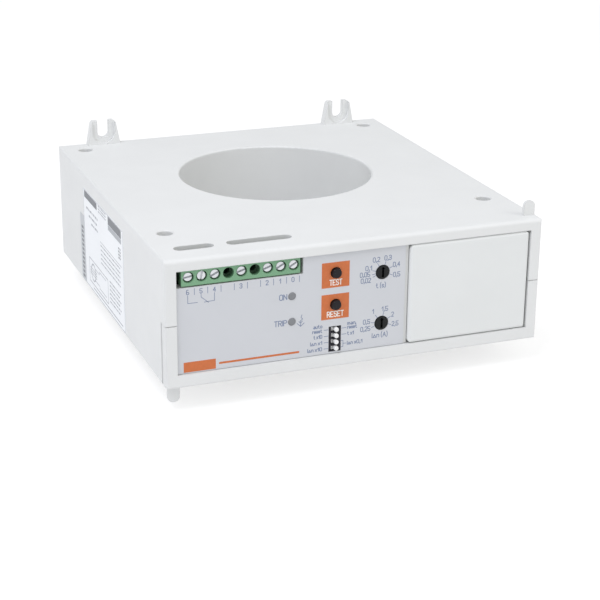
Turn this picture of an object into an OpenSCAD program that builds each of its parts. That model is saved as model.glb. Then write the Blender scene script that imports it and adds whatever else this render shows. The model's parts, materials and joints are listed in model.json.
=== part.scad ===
// Earth leakage protection relay with a ring transformer built into its case
// Millimetres, +Z up. The origin lies on the axis of the cable bore, halfway up the case.
// The modules draw in case coordinates: x from the left side, y from the front face to the back,
// z from the underside up. in_case() moves them to the origin.

/* [Case] */
// Width of the case
case_w = 152.4; // [149:0.1:170]
// Depth of the case, front face to back
case_d = 164.4; // [160:0.1:185]
// Height of the case
case_h = 49.8; // [49:0.1:60]
// Wall thickness of the shell
wall = 2.5; // [2.1:0.1:2.8]
// Thickness of the bottom plate
plate_t = 2.5; // [2:0.1:2.8]
// Rounding of the upright edges
corner_r = 0.7; // [0.5:0.1:2.1]
// Rounding of the upper edge across the front
front_edge_r = 1.5; // [1.2:0.1:2.1]
// Rounding of the other edges
edge_r = 0.7; // [0.4:0.1:1.2]
// Gap at the joints between shell and base
joint_gap = 0.25; // [0.1:0.05:0.3]

/* [Cable bore] */
// Diameter of the cable bore
bore_d = 81; // [74:0.5:84]
// Shift of the bore's axis behind the case's middle
bore_setback = 12.7; // [10:0.05:15]
// Shift of the bore's axis to the right of the middle
bore_shift = 0.8; // [0:0.1:2]
// Wall of the bore tube
tube_wall = 3; // [2.5:0.1:4]
// Rounding of the bore's rims
rim_r = 0.8; // [0.5:0.1:2]

/* [Front frame] */
// Width of the frame's upright bars
bar_side = 4.5; // [4:0.1:6]
// Height of the frame's upper bar
bar_level = 4.45; // [4:0.05:4.8]
// Height of the frame's lower bar
bar_low = 4.95; // [4.5:0.05:5.3]
// Depth of the frame bars
frame_t = 3; // [2.5:0.1:3.2]
// Height of the joint between the frame's two halves
split_z = 24.7; // [20:0.1:30]
// Depth of the base's side returns
return_d = 5.5; // [4:0.1:6]
// Inset of those returns from the case's sides
return_inset = 0.3; // [0:0.1:0.5]
// Width of the tab and the foot
tab_w = 4.7; // [4.5:0.1:7]
// Thickness of the tab and the foot
tab_t = 1.2; // [1:0.1:2.5]
// Rounding of the tab's and the foot's ends
tab_r = 2.2; // [1:0.1:2.2]
// Reach of the tab above the case
tab_h = 6; // [4:0.1:8]
// Distance of the tab from the case's right side
tab_inset = 0.85; // [0.7:0.05:2]
// Reach of the foot below the case
foot_h = 7.2; // [5:0.1:9]
// Distance of the foot from the case's left side
foot_inset = 1.65; // [1.5:0.05:3]
// Distance of the tab from the front face
tab_y = 5; // [4:0.1:8]

/* [Fixing lugs] */
// Distance of each lug's middle from the case's side
lug_x = 19.9; // [18:0.1:30]
// Width of a lug at the case
lug_base_w = 14.6; // [14:0.1:18]
// Width of a lug at its end
lug_top_w = 11; // [10.8:0.1:13]
// Reach of a lug beyond the case
lug_h = 10.5; // [9:0.1:14]
// Thickness of a lug
lug_t = 4; // [3:0.1:5]
// Width of the open slot in a lug
lug_slot_w = 5.2; // [4.4:0.1:5.5]
// Height of the slot's round end above the case
lug_slot_z = 5.4; // [5.2:0.1:6]
// Diameter of the seat for the fixing screw's head
lug_seat_d = 10.2; // [8:0.1:10.2]
// Depth of that seat
lug_seat_depth = 1.5; // [0.5:0.1:2]

/* [Case screws] */
// Distance of the screw wells from the case's sides
well_x = 9.7; // [9:0.1:12]
// Distance of the front wells from the front face
well_front_y = 31.4; // [28:0.1:36]
// Distance of the rear wells from the back
well_back_y = 10.1; // [8.5:0.05:12]
// Diameter of the screw wells
well_d = 6.1; // [6:0.1:7]
// Chamfer round the mouth of a well
well_chamfer = 0.4; // [0.2:0.1:0.8]
// Diameter of the column round a well
column_d = 10.5; // [9:0.1:11]
// Height of the base's screw posts
post_h = 12; // [8:0.5:16]
// Height of the seat at the foot of a well
well_floor_z = 20; // [18:0.5:30]
// Diameter of a case screw
case_screw_d = 3; // [2.5:0.1:3.5]
// Diameter of a case screw's head
case_screw_head_d = 5.6; // [5:0.1:5.8]
// Height of a case screw's head
case_screw_head_h = 2.2; // [1.8:0.1:3]

/* [Front panel] */
// Distance of the printed film behind the front face
film_y = 1; // [0.6:0.1:1.2]
// Thickness of the printed film
film_t = 0.25; // [0.15:0.05:0.4]
// Right edge of the film
film_right = 95.2; // [94:0.1:96]
// Strip of the panel left bare at the film's right edge
film_margin = 1.2; // [0.8:0.1:1.5]
// Thickness of the panel's flange behind the frame
flange_t = 2.4; // [1.5:0.1:2.4]
// Gap round the panel
panel_gap = 0.2; // [0.1:0.05:0.3]
// Gap between the panel's strip and the blank cover
cover_gap = 0.3; // [0.2:0.05:0.6]
// Gap at the right of the blank cover
cover_side_gap = 0.6; // [0.3:0.1:1]
// Rounding of the cover's corners
cover_corner_r = 2; // [0.8:0.1:2]
// Rounding of the cover's front edges
cover_edge_r = 1.2; // [0.5:0.1:1.2]
// Wall thickness of the cover
cover_wall = 1.6; // [1.4:0.1:2]

/* [Terminals] */
// Pitch of the poles
pole_pitch = 5.08; // [5:0.01:5.2]
// Distance of the first pole from the case's left side
first_pole_x = 9.4; // [9:0.1:12]
// Distance of the screws' row below the case's top
pole_drop = 7.4; // [7.2:0.1:7.8]
// Distance of the block's face behind the front face
block_face_y = 1.2; // [0.8:0.1:1.4]
// Diameter of a terminal screw's head
pole_head_d = 3.75; // [3.4:0.05:3.9]
// Diameter of a terminal screw's thread
pole_screw_d = 2.4; // [2:0.1:2.4]
// Distance of the wires' entry row from the front face
wire_y = 12.4; // [12.2:0.1:12.8]
// Width of the wire slots in the case's top
wire_slot_w = 4.8; // [4.2:0.1:5.2]

/* [Controls] */
// Distance of the buttons from the case's left side
button_x = 66.75; // [66:0.05:68]
// Distance of the TEST button below the case's top
test_drop = 12.35; // [11:0.05:13]
// Height of the RESET button
reset_z = 24.8; // [23.5:0.05:26]
// Diameter of a button
button_d = 3.8; // [3.4:0.1:4]
// Travel of a button
button_travel = 0.4; // [0.2:0.05:0.4]
// Distance of the trimmers from the case's left side
trimmer_x = 85.8; // [85:0.1:88]
// Distance of the time trimmer below the case's top
time_drop = 14.4; // [13:0.1:15]
// Height of the current trimmer
current_z = 14.8; // [13:0.1:16]
// Diameter of a trimmer's rotor
rotor_d = 5.4; // [5:0.1:5.8]
// Distance of the four-way switch from the case's left side
dip_x = 66.7; // [66:0.1:68]
// Height of the four-way switch's middle
dip_z = 10.9; // [10.8:0.1:11.5]
// Pitch of the switch's sliders
dip_pitch = 2.54; // [2.5:0.01:2.6]
// Width of the switch's face
dip_w = 4.85; // [4.6:0.05:5.2]
// Travel of a slider
slider_travel = 0.9; // [0.6:0.1:0.9]
// Distance of the lamps from the case's left side
lamp_x = 49.3; // [48.5:0.1:50]
// Distance of the ON lamp below the case's top
on_drop = 19.55; // [18:0.05:21]
// Height of the TRIP lamp
trip_z = 20.1; // [18:0.1:22]
// Diameter of a lamp
lamp_d = 3; // [2.8:0.1:3.2]

/* [Ring transformer] */
// Gap between the bore tube and the winding
ring_gap = 1.5; // [1:0.1:2]
// Radial width of the wound ring
ring_w = 11; // [9:0.5:14]
// Room left above and below the wound ring
ring_stand = 10; // [6:0.5:12]
// Thickness of the winding on the core
winding_t = 1.8; // [1.5:0.1:2.5]

/* [Boards] */
// Thickness of the circuit boards
board_t = 1.6; // [1.2:0.1:1.6]
// Distance of the control board from the front face
control_y = 19.2; // [19:0.1:20]
// Distance of the display board from the front face
display_y = 10; // [9.8:0.1:10.5]

/* [Hidden] */
$fn = 64;

case_grey = "#e6e8ea";
panel_grey = "#d4d5d3";
board_green = "#2f6b46";
metal = "#c9ccd0";
black = "#26272b";

// Cut-outs run past the faces they open by this much
over = 1;

// Bore and inside of the case
bore_x = case_w / 2 + bore_shift;
bore_y = case_d / 2 + bore_setback;
bore_r = bore_d / 2;
tube_r = bore_r + tube_wall;
tube_seat_r = bore_r + (rim_r + tube_wall) / 2;
ceiling = case_h - wall;
inner_right = case_w - wall;
rib_t = 2;
rib_reach = 2.2;
rib_gap = 0.15;

// Corner wells, as points in plan
wells = [for (x = [well_x, case_w - well_x], y = [well_front_y, case_d - well_back_y]) [x, y]];
post_d = 8;
thread_gap = 0.1;
shank_gap = 0.4;
recess_w = 0.9;

// Fixing lugs
lug_root = 6;
lug_nip = 0.8;
lug_xs = [lug_x, case_w - lug_x];

// Ring transformer
ring_z = plate_t + ring_stand;
ring_h = ceiling - plate_t - 2 * ring_stand;
ring_in = tube_r + ring_gap;
ring_out = ring_in + ring_w;
ring_r = 1.5;
core_gap = 0.1;
seat_gap = 0.2;
stand_angles = [45, 135, 225, 315];
stand_w = 8;
stand_t = 3;

// Front panel and blank cover
pad_y = film_y + film_t;
flange_y = frame_t + 0.1;
flange_back = flange_y + flange_t;
pad_x = bar_side + panel_gap;
pad_z = bar_low + panel_gap;
pad_h = case_h - bar_level - panel_gap - pad_z;
pad_right = film_right + film_margin;
cover_x = pad_right + cover_gap;
cover_w = case_w - bar_side - cover_side_gap - cover_x;
cover_ledge = 1.8;
latch_w = 6;
latch_t = 1.2;
latch_hook = 0.7;
latch_gap = 0.15;

// Terminal block
poles = 9;
live_poles = [1, 2, 3, 5, 7, 8, 9];
function pole_x(p) = first_pole_x + (p - 1) * pole_pitch;
pole_z = case_h - pole_drop;
block_left = 2.7;
block_right = 2.5;
block_x = first_pole_x - block_left;
block_w = (poles - 1) * pole_pitch + block_left + block_right;
notch_side = 1.1;
notch_low = 0.5;
tower_z = pole_z - 3.3;
tower_top = pole_z + 3.6;
face_top = case_h - bar_level - panel_gap;
face_end_y = frame_t + panel_gap;
block_z = pole_z - 6.3;
block_top = ceiling - 0.9;
step_y = 9.2;
head_y = block_face_y + 0.7;
head_h = 2.2;
head_seat_y = head_y + head_h + 0.05;
head_room = 0.45;
chamber_y = head_seat_y + 1;
bar_back = wire_y - 1.5;
bar_thick = 0.8;
bar_front = bar_back - bar_thick;
bar_w = 2;
bar_gap = 0.1;
clamp_opening = 3;
cage_plate = 1.4;
cage_foot = 1;
cage_w = 3.5;
cage_h = 4.6;
cage_side = 0.5;
cage_room = 0.2;
cage_y = bar_front - 0.3 - cage_plate;
cage_d = bar_back + clamp_opening + cage_foot - cage_y;
pin_d = 1;
pin_z = pole_z - 4.1;
pin_out = 1.8;
wire_hole_w = 3.6;
wire_hole_d = 3.4;
slot_left = 2;
slot_right = 3.1;
// Turn of each live pole's screw slot from level, as left by the screwdriver
screw_turns = [-8, -80, -25, -16, -18, -28, -30];

// Controls
test_z = case_h - test_drop;
time_z = case_h - time_drop;
on_z = case_h - on_drop;
button_gap = 0.3;
button_front_y = -0.6;
button_round = 0.5;
collar_d = button_d + 1.6;
collar_y = flange_back + seat_gap;
collar_t = 0.7;
switch_w = 6;
switch_y = collar_y + collar_t + button_travel + 0.1;
plunger_d = 3.2;
plunger_len = 1.3;
plunger_gap = 0.1;
rotor_y = 0.7;
rotor_gap = 0.2;
rotor_fit = 0.08;
trimmer_w = 10;
trimmer_y = flange_back + 0.4;
rotor_end_y = display_y - 1.6;
rotor_slot_w = 0.9;
rotor_slot_d = 1.2;
lamp_gap = 0.05;
lamp_flange = 0.4;
lamp_tip_y = film_y - 0.3;
lamp_edge_r = 0.4;
lamp_flange_t = 1;
lamp_back_y = flange_back + seat_gap + lamp_flange_t;
lead_d = 0.5;
lead_pitch = 2.54;
lead_gap = 0.3;

// Four-way switch
dip_count = 4;
dip_len = dip_count * dip_pitch;
dip_gap = 0.1;
dip_face_y = 1.3;
dip_skin = 0.8;
dip_base_w = 6.6;
dip_base_y = flange_back + seat_gap;
knob_d = 1.8;
knob_round = 0.4;
knob_front_y = 0;
knob_x = dip_x + slider_travel / 2;
slider_gap = 0.1;
slider_len = 3;
slider_t = 1.2;
slider_slot = knob_d + slider_travel + 2 * slider_gap;
slider_room = slider_len + slider_travel + 2 * slider_gap;
function slider_z(i) = dip_z + ((dip_count + 1) / 2 - i) * dip_pitch;

// Boards and what they carry
control_back = control_y + board_t;
control_x = wall + 0.3;
control_z = plate_t + 0.3;
display_back = display_y + board_t;
display_x = lamp_x - 4.8;
display_right = film_right - 1.3;
display_z = bar_low + 0.45;
display_low_top = block_z - 0.8;
display_notch_x = block_x + block_w + 3.5;
display_top = ceiling - 3;
spacer_d = 5;
spacer_hole = 2.6;
spacers = [[lamp_x - 0.8, display_z + 3.2], [display_notch_x + 3, display_top - 3], [display_right - 3.2, reset_z + 0.3]];
link_count = 7;
link_pitch = 2.54;
link_z = reset_z + 0.9;
link_x = button_x + 4.5;
link_strip = 2.5;
link_pin_d = 0.64;
link_pin_out = 1.2;
link_hole_d = 0.9;
plug_w = 8;
plug_h = 6;
plug_d = 6;
plug_z = 12;
winding_lead_d = 1.2;
winding_lead_x = 1.8;
relay_x = well_x + column_d / 2 + 2;
relay_z = control_z + 5;
relay_w = 29;
relay_d = 15.7;
relay_h = 12.7;
cap_d = 10;
cap_len = 12;
cap_x = relay_x + relay_w + cap_d / 2 + 1;
cap_z = control_z + 11;
chip_x = button_x;
chip_z = link_z + 4;
chip_w = 23;
chip_d = 3.6;
chip_h = 7;

// Supply transformer: a stack of three legs with the coil on the middle one
stack_w = 29;
stack_d = 14;
stack_h = 27;
leg_w = stack_w / 6;
coil_build = 2.8;
coil_gap = 0.1;
stack_x = case_w - well_x - column_d / 2 - 1.5 - stack_w;
stack_y = control_back + coil_build + coil_gap;
stack_z = control_z + 7;
coil_h = stack_h - 2 * leg_w - 2 * coil_gap;

// Shapes

module in_case() {
    translate([-bore_x, -bore_y, -case_h / 2]) children();
}

// Rectangle from the origin with round corners
module rounded_rect(size, r) {
    union() {
        translate([r, 0]) square([size.x - 2 * r, size.y]);
        translate([0, r]) square([size.x, size.y - 2 * r]);
        for (x = [r, size.x - r], y = [r, size.y - r]) translate([x, y]) circle(r);
    }
}

// Box from the origin with its upright, side and front edges rounded
module soft_box(size, upright_r, along_r, across_r) {
    intersection() {
        linear_extrude(size.z) rounded_rect([size.x, size.y], upright_r);
        in_front(0, size.y) rounded_rect([size.x, size.z], along_r);
        across(0, size.x) rounded_rect([size.y, size.z], across_r);
    }
}

// A drawing in x and z, made t deep from y to the back
module in_front(y, t) {
    translate([0, y + t, 0]) rotate([90, 0, 0]) linear_extrude(t) children();
}

// A drawing in y and z, made len long from x to the right
module across(x, len) {
    translate([x, 0, 0]) rotate([90, 0, 90]) linear_extrude(len) children();
}

// Round bar from y to the back
module along_y(x, y, z, d, len) {
    translate([x, y, z]) rotate([-90, 0, 0]) cylinder(d = d, h = len);
}

// Stands a piece that was drawn upright on its foot at y, facing the front
module facing_front(x, y, z) {
    translate([x, y, z]) rotate([90, 0, 0]) children();
}

// Upright pin with a round edge at its top
module round_top_pin(d, h, r) {
    rotate_extrude() union() {
        square([d / 2 - r, h]);
        square([d / 2, h - r]);
        translate([d / 2 - r, h - r]) circle(r);
    }
}

// Case

// Outside of the case, as its plan, front view and side view cut it
module case_envelope() {
    intersection() {
        linear_extrude(case_h) rounded_rect([case_w, case_d], corner_r);
        in_front(0, case_d) rounded_rect([case_w, case_h], edge_r);
        across(0, case_w) union() {
            rounded_rect([case_d, case_h], front_edge_r);
            rounded_rect([case_d, case_h / 2], edge_r);
            translate([case_d / 2, 0]) rounded_rect([case_d / 2, case_h], edge_r);
        }
    }
}

module window(depth) {
    translate([bar_side, -over, bar_low])
        cube([case_w - 2 * bar_side, depth + 2 * over, case_h - bar_level - bar_low]);
}

// Tube round the cable bore, with both rims rounded
module bore_tube() {
    translate([bore_x, bore_y, 0]) rotate_extrude() difference() {
        translate([bore_r, 0]) square([tube_wall, case_h]);
        for (z = [0, case_h]) bore_rim(z);
    }
}

// Section of what the rim's rounding takes away, at the tube's lower or upper end
module bore_rim(z) {
    inner_z = z == 0 ? rim_r : z - rim_r;
    difference() {
        translate([bore_r - over, z == 0 ? -over : inner_z]) square([rim_r + over, rim_r + over]);
        translate([bore_r + rim_r, inner_z]) circle(rim_r);
    }
}

module lug() {
    difference() {
        in_front(0, lug_t) polygon([
            [-lug_base_w / 2, -lug_root], [lug_base_w / 2, -lug_root], [lug_base_w / 2, 0],
            [lug_top_w / 2, lug_h - lug_nip], [lug_top_w / 2 - lug_nip, lug_h],
            [lug_nip - lug_top_w / 2, lug_h], [-lug_top_w / 2, lug_h - lug_nip], [-lug_base_w / 2, 0]
        ]);
        lug_channel(lug_slot_w, lug_t + over);
        lug_channel(lug_seat_d, lug_seat_depth);
    }
}

// Open slot with a round end, cut from the front of a lug
module lug_channel(w, depth) {
    along_y(0, -over, lug_slot_z, w, depth + over);
    translate([-w / 2, -over, lug_slot_z]) cube([w, depth + over, lug_h]);
}

// Tab or foot, from its root in the case to its end
module tab_blank(reach, root) {
    in_front(0, tab_t) rounded_rect([tab_w, reach + root], tab_r);
}

// Ribs on both side walls, from y to the back
module side_ribs(y) {
    for (x = [wall - 0.5, inner_right - rib_reach])
        translate([x, y, plate_t + 2]) cube([rib_reach + 0.5, rib_t, ceiling - plate_t - 1.5]);
}

// Blocks that hold the wound ring, from z up
module ring_stands(z, h) {
    for (a = stand_angles)
        translate([bore_x, bore_y, z]) rotate([0, 0, a])
            translate([(ring_in + ring_out - stand_w) / 2, -stand_t / 2, 0]) cube([stand_w, stand_t, h]);
}

// Column round a well, with a web to the side wall
module well_column(at) {
    web_len = well_x - wall / 2;
    web_x = at.x < case_w / 2 ? wall / 2 : at.x;
    h = ceiling - post_h - thread_gap + 0.5;
    translate([at.x, at.y, post_h + thread_gap]) cylinder(d = column_d, h = h);
    translate([web_x, at.y - rib_t / 2, post_h + thread_gap]) cube([web_len, rib_t, h]);
}

module well_cut(at) {
    translate([at.x, at.y, well_floor_z]) cylinder(d = well_d, h = case_h);
    translate([at.x, at.y, case_h - well_chamfer])
        cylinder(d1 = well_d, d2 = well_d + 4 * well_chamfer, h = 2 * well_chamfer);
    translate([at.x, at.y, 0]) cylinder(d = case_screw_d + shank_gap, h = well_floor_z + over);
}

// Slot in the case's top for the wires of a run of poles
module wire_slot(first, last) {
    x = pole_x(first) - slot_left;
    translate([x, wire_y - wire_slot_w / 2, ceiling - over]) linear_extrude(wall + 2 * over)
        stadium(pole_x(last) + slot_right - x, wire_slot_w);
}

// Level bar shape with round ends, from the origin
module stadium(len, w) {
    union() {
        translate([w / 2, 0]) square([len - w, w]);
        for (x = [w / 2, len - w / 2]) translate([x, w / 2]) circle(d = w);
    }
}

module upper_shell() {
    color(case_grey) in_case() difference() {
        union() {
            difference() {
                case_envelope();
                translate([wall, frame_t, -over])
                    cube([case_w - 2 * wall, case_d - wall - frame_t, ceiling + over]);
                window(frame_t);
                translate([-over, -over, -over])
                    cube([case_w + 2 * over, return_d + joint_gap + over, split_z + over]);
                translate([bore_x, bore_y, -over]) cylinder(r = tube_seat_r, h = case_h + 2 * over);
            }
            bore_tube();
            for (at = wells) well_column(at);
            side_ribs(max(flange_back, return_d) + joint_gap);
            side_ribs(control_y - rib_gap - rib_t);
            side_ribs(control_back + rib_gap);
            ring_stands(ring_z + ring_h + seat_gap, ring_stand);
            for (x = lug_xs) {
                translate([x, case_d - lug_t, case_h]) lug();
                translate([x, case_d - lug_t, 0]) mirror([0, 0, 1]) lug();
            }
            translate([case_w - tab_inset - tab_w, tab_y, ceiling]) tab_blank(tab_h, wall);
        }
        for (at = wells) well_cut(at);
        wire_slot(1, 3);
        wire_slot(5, 9);
    }
}

// Lower half of the front frame, with its side returns
module lower_frame() {
    difference() {
        translate([return_inset, 0, 0]) cube([case_w - 2 * return_inset, return_d, split_z - joint_gap]);
        translate([wall, frame_t, plate_t]) cube([case_w - 2 * wall, return_d, split_z]);
        window(return_d);
    }
}

module base() {
    edge = wall + joint_gap;
    color(case_grey) in_case() difference() {
        union() {
            intersection() {
                case_envelope();
                union() {
                    lower_frame();
                    translate([edge, frame_t, 0]) cube([case_w - 2 * edge, case_d - edge - frame_t, plate_t]);
                }
            }
            translate([foot_inset, return_d - tab_t, -foot_h]) tab_blank(foot_h, plate_t);
            for (at = wells) translate([at.x, at.y, plate_t / 2]) cylinder(d = post_d, h = post_h - plate_t / 2);
            ring_stands(plate_t / 2, ring_z - seat_gap - plate_t / 2);
        }
        translate([bore_x, bore_y, -over]) cylinder(r = tube_r + joint_gap, h = plate_t + 2 * over);
        for (x = lug_xs)
            translate([x - lug_base_w / 2 - joint_gap, case_d - lug_t - joint_gap, -over])
                cube([lug_base_w + 2 * joint_gap, lug_t, plate_t + 2 * over]);
        for (at = wells)
            translate([at.x, at.y, plate_t]) cylinder(d = case_screw_d + thread_gap, h = post_h);
    }
}

// Cross-recessed screw, upright, with its seat at the origin
module case_screw() {
    difference() {
        union() {
            cylinder(d = case_screw_head_d, h = case_screw_head_h);
            translate([0, 0, plate_t + over - well_floor_z])
                cylinder(d = case_screw_d, h = well_floor_z - plate_t - over / 2);
        }
        for (a = [0, 90]) rotate([0, 0, a])
            translate([-case_screw_head_d / 3, -recess_w / 2, case_screw_head_h / 2])
                cube([case_screw_head_d / 1.5, recess_w, case_screw_head_h]);
    }
}

module case_screws() {
    color(metal) in_case() for (at = wells) translate([at.x, at.y, well_floor_z]) case_screw();
}

// Front panel

// Outline of the room left for the terminal block's face
module terminal_notch() {
    translate([-over, tower_z - notch_low]) square([block_x + block_w + notch_side + over, case_h]);
}

// Openings for buttons, trimmers, lamps and the four-way switch
module control_openings() {
    for (z = [test_z, reset_z]) translate([button_x, z]) circle(d = button_d + 2 * button_gap);
    for (z = [time_z, current_z]) translate([trimmer_x, z]) circle(d = rotor_d + 2 * rotor_gap);
    for (z = [on_z, trip_z]) translate([lamp_x, z]) circle(d = lamp_d + 2 * lamp_gap);
    translate([dip_x - dip_w / 2 - dip_gap, dip_z - dip_len / 2 - dip_gap])
        square([dip_w + 2 * dip_gap, dip_len + 2 * dip_gap]);
}

module front_panel() {
    flange_x = wall + panel_gap;
    flange_z = plate_t + panel_gap;
    color(panel_grey) in_case() difference() {
        union() {
            in_front(flange_y, flange_t) translate([flange_x, flange_z])
                square([case_w - 2 * flange_x, ceiling - panel_gap - flange_z]);
            in_front(pad_y, flange_back - pad_y) translate([pad_x, pad_z]) square([pad_right - pad_x, pad_h]);
        }
        in_front(-over, flange_back + 2 * over) union() {
            terminal_notch();
            control_openings();
            translate([cover_x + cover_ledge, pad_z + cover_ledge])
                square([cover_w - 2 * cover_ledge, pad_h - 2 * cover_ledge]);
        }
    }
}

module panel_overlay() {
    color("#ccd0d8") in_case() in_front(film_y, film_t) difference() {
        translate([pad_x, pad_z]) square([film_right - pad_x, pad_h]);
        terminal_notch();
        control_openings();
    }
}

// Latch of the blank cover, drawn in y and z for the upper edge
module latch_section() {
    tip = flange_back + latch_gap;
    polygon([
        [cover_wall / 2, -latch_t], [cover_wall / 2, 0], [tip, 0], [tip, latch_hook],
        [tip + latch_hook / 2, latch_hook], [tip + 2 * latch_hook, -latch_t / 2], [tip + 2 * latch_hook, -latch_t]
    ]);
}

module blank_cover() {
    latch_z = pad_h / 2 - cover_ledge - latch_gap;
    cover_d = flange_y - 0.05;
    color(case_grey) in_case() translate([cover_x, 0, pad_z]) union() {
        difference() {
            soft_box([cover_w, 3 * cover_d, pad_h], cover_edge_r, cover_corner_r, cover_edge_r);
            translate([-over, cover_d, -over]) cube([cover_w + 2 * over, 3 * cover_d, pad_h + 2 * over]);
            translate([cover_wall, cover_wall, cover_wall])
                cube([cover_w - 2 * cover_wall, cover_d, pad_h - 2 * cover_wall]);
        }
        for (x = [cover_w / 4, 3 * cover_w / 4], side = [0, 1])
            translate([0, 0, pad_h / 2]) mirror([0, 0, side]) translate([0, 0, latch_z])
                across(x - latch_w / 2, latch_w) latch_section();
    }
}

// Terminals

// What one pole takes out of the block: screw bore, clamp chamber and wire hole
module pole_space(p) {
    x = pole_x(p);
    room_w = cage_w + 2 * cage_room;
    room_h = cage_h + 2 * cage_room;
    along_y(x, block_face_y - over, pole_z, pole_head_d + head_room, head_seat_y - block_face_y + over);
    along_y(x, head_seat_y - over, pole_z, pole_screw_d + shank_gap, chamber_y - head_seat_y + 2 * over);
    translate([x - room_w / 2, chamber_y, pole_z - room_h / 2])
        cube([room_w, cage_y + cage_d + cage_room - chamber_y, room_h]);
    translate([x - wire_hole_w / 2, wire_y - wire_hole_d / 2, pole_z])
        cube([wire_hole_w, wire_hole_d, block_top - pole_z + over]);
}

// Room in the block for one contact bar and its pin
module bar_space(p) {
    slot_w = bar_w + 2 * bar_gap;
    translate([pole_x(p) - slot_w / 2, bar_front - bar_gap, pin_z - pin_d / 2 - bar_gap])
        cube([slot_w, bar_thick + 2 * bar_gap, pole_z - pin_z]);
    along_y(pole_x(p), bar_front, pin_z, pin_d + 2 * bar_gap, control_y - bar_front + over);
}

module terminal_block() {
    color("#5fa37c") in_case() difference() {
        across(block_x, block_w) polygon([
            [block_face_y, tower_z], [step_y, tower_z], [step_y, block_z], [control_y, block_z],
            [control_y, block_top], [step_y, block_top], [step_y, tower_top], [face_end_y, tower_top],
            [face_end_y, face_top], [block_face_y, face_top]
        ]);
        for (p = [1:poles]) pole_space(p);
        for (p = live_poles) bar_space(p);
    }
}

module terminal_screw(p) {
    turn = screw_turns[search(p, live_poles)[0]];
    edge = 0.3;
    color(metal) in_case() translate([pole_x(p), head_y, pole_z]) rotate([-90, 0, 0]) difference() {
        union() {
            cylinder(d1 = pole_head_d - 2 * edge, d2 = pole_head_d, h = edge);
            translate([0, 0, edge]) cylinder(d = pole_head_d, h = head_h - edge);
            translate([0, 0, head_h / 2]) cylinder(d = pole_screw_d, h = bar_front - bar_gap - head_y - head_h / 2);
        }
        rotate([0, 0, turn]) translate([-pole_head_d, -0.35, -over]) cube([2 * pole_head_d, 0.7, over + 0.9]);
    }
}

module terminal_cage(p) {
    inside_w = cage_w - 2 * cage_side;
    color(metal) in_case() difference() {
        translate([pole_x(p) - cage_w / 2, cage_y, pole_z - cage_h / 2]) cube([cage_w, cage_d, cage_h]);
        translate([pole_x(p) - inside_w / 2, cage_y + cage_plate, pole_z - cage_h])
            cube([inside_w, cage_d - cage_plate - cage_foot, 2 * cage_h]);
        along_y(pole_x(p), cage_y - over, pole_z, pole_screw_d + thread_gap, cage_plate + 2 * over);
    }
}

module terminal_bars() {
    color("#cfae6a") in_case() for (p = live_poles) union() {
        translate([pole_x(p) - bar_w / 2, bar_front, pin_z - pin_d / 2])
            cube([bar_w, bar_thick, pole_z + cage_h / 2 - pin_z]);
        along_y(pole_x(p), bar_front + bar_thick / 2, pin_z, pin_d, control_back + pin_out - bar_front - bar_thick / 2);
    }
}

// Controls

module push_button(z) {
    color(black) in_case() union() {
        facing_front(button_x, collar_y + collar_t, z)
            round_top_pin(button_d, collar_y + collar_t - button_front_y, button_round);
        along_y(button_x, collar_y, z, collar_d, collar_t);
    }
}

// Plunger of a key switch, which moves with its button
module key_plunger(z) {
    color(black) in_case() along_y(button_x, collar_y + collar_t + 0.05, z, plunger_d, plunger_len);
}

module key_switch(z) {
    hole = plunger_len + button_travel;
    color("#3a3b3f") in_case() difference() {
        in_front(switch_y, display_y - switch_y) translate([button_x - switch_w / 2, z - switch_w / 2])
            rounded_rect([switch_w, switch_w], 0.5);
        along_y(button_x, switch_y - over, z, plunger_d + 2 * plunger_gap, hole + over);
    }
}

module trimmer_rotor(z) {
    half = rotor_d / 2;
    color(black) in_case() difference() {
        facing_front(trimmer_x, rotor_end_y, z) round_top_pin(rotor_d, rotor_end_y - rotor_y, 0.4);
        in_front(rotor_y - over, rotor_slot_d + over) translate([trimmer_x, z]) polygon([
            [-rotor_slot_w / 2, -0.75 * half], [rotor_slot_w / 2, -0.75 * half], [rotor_slot_w / 2, 0.45 * half],
            [rotor_slot_w, 0.45 * half], [0, 0.85 * half], [-rotor_slot_w, 0.45 * half], [-rotor_slot_w / 2, 0.45 * half]
        ]);
    }
}

module trimmer_body(z) {
    color("#3f6fae") in_case() difference() {
        in_front(trimmer_y, display_y - trimmer_y) translate([trimmer_x - trimmer_w / 2, z - trimmer_w / 2])
            rounded_rect([trimmer_w, trimmer_w], 0.8);
        along_y(trimmer_x, trimmer_y - over, z, rotor_d + 2 * rotor_fit, rotor_end_y + 0.2 - trimmer_y + over);
    }
}

module dip_body() {
    color(black) in_case() difference() {
        union() {
            translate([dip_x - dip_w / 2, dip_face_y, dip_z - dip_len / 2])
                cube([dip_w, display_y - dip_face_y, dip_len]);
            translate([dip_x - dip_base_w / 2, dip_base_y, dip_z - dip_len / 2])
                cube([dip_base_w, display_y - dip_base_y, dip_len]);
        }
        for (i = [1:dip_count]) {
            slot_h = knob_d + 2 * slider_gap;
            translate([dip_x - slider_slot / 2, dip_face_y - over, slider_z(i) - slot_h / 2])
                cube([slider_slot, dip_skin + 2 * over, slot_h]);
            translate([dip_x - slider_room / 2, dip_face_y + dip_skin, slider_z(i) - slot_h / 2])
                cube([slider_room, slider_t + 2 * slider_gap, slot_h]);
        }
    }
}

module dip_slider(i) {
    plate_y = dip_face_y + dip_skin + slider_gap;
    color("#f4f4f2") in_case() union() {
        translate([knob_x - slider_len / 2, plate_y, slider_z(i) - knob_d / 2]) cube([slider_len, slider_t, knob_d]);
        facing_front(knob_x, plate_y + slider_t / 2, slider_z(i))
            round_top_pin(knob_d, plate_y + slider_t / 2 - knob_front_y, knob_round);
    }
}

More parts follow.
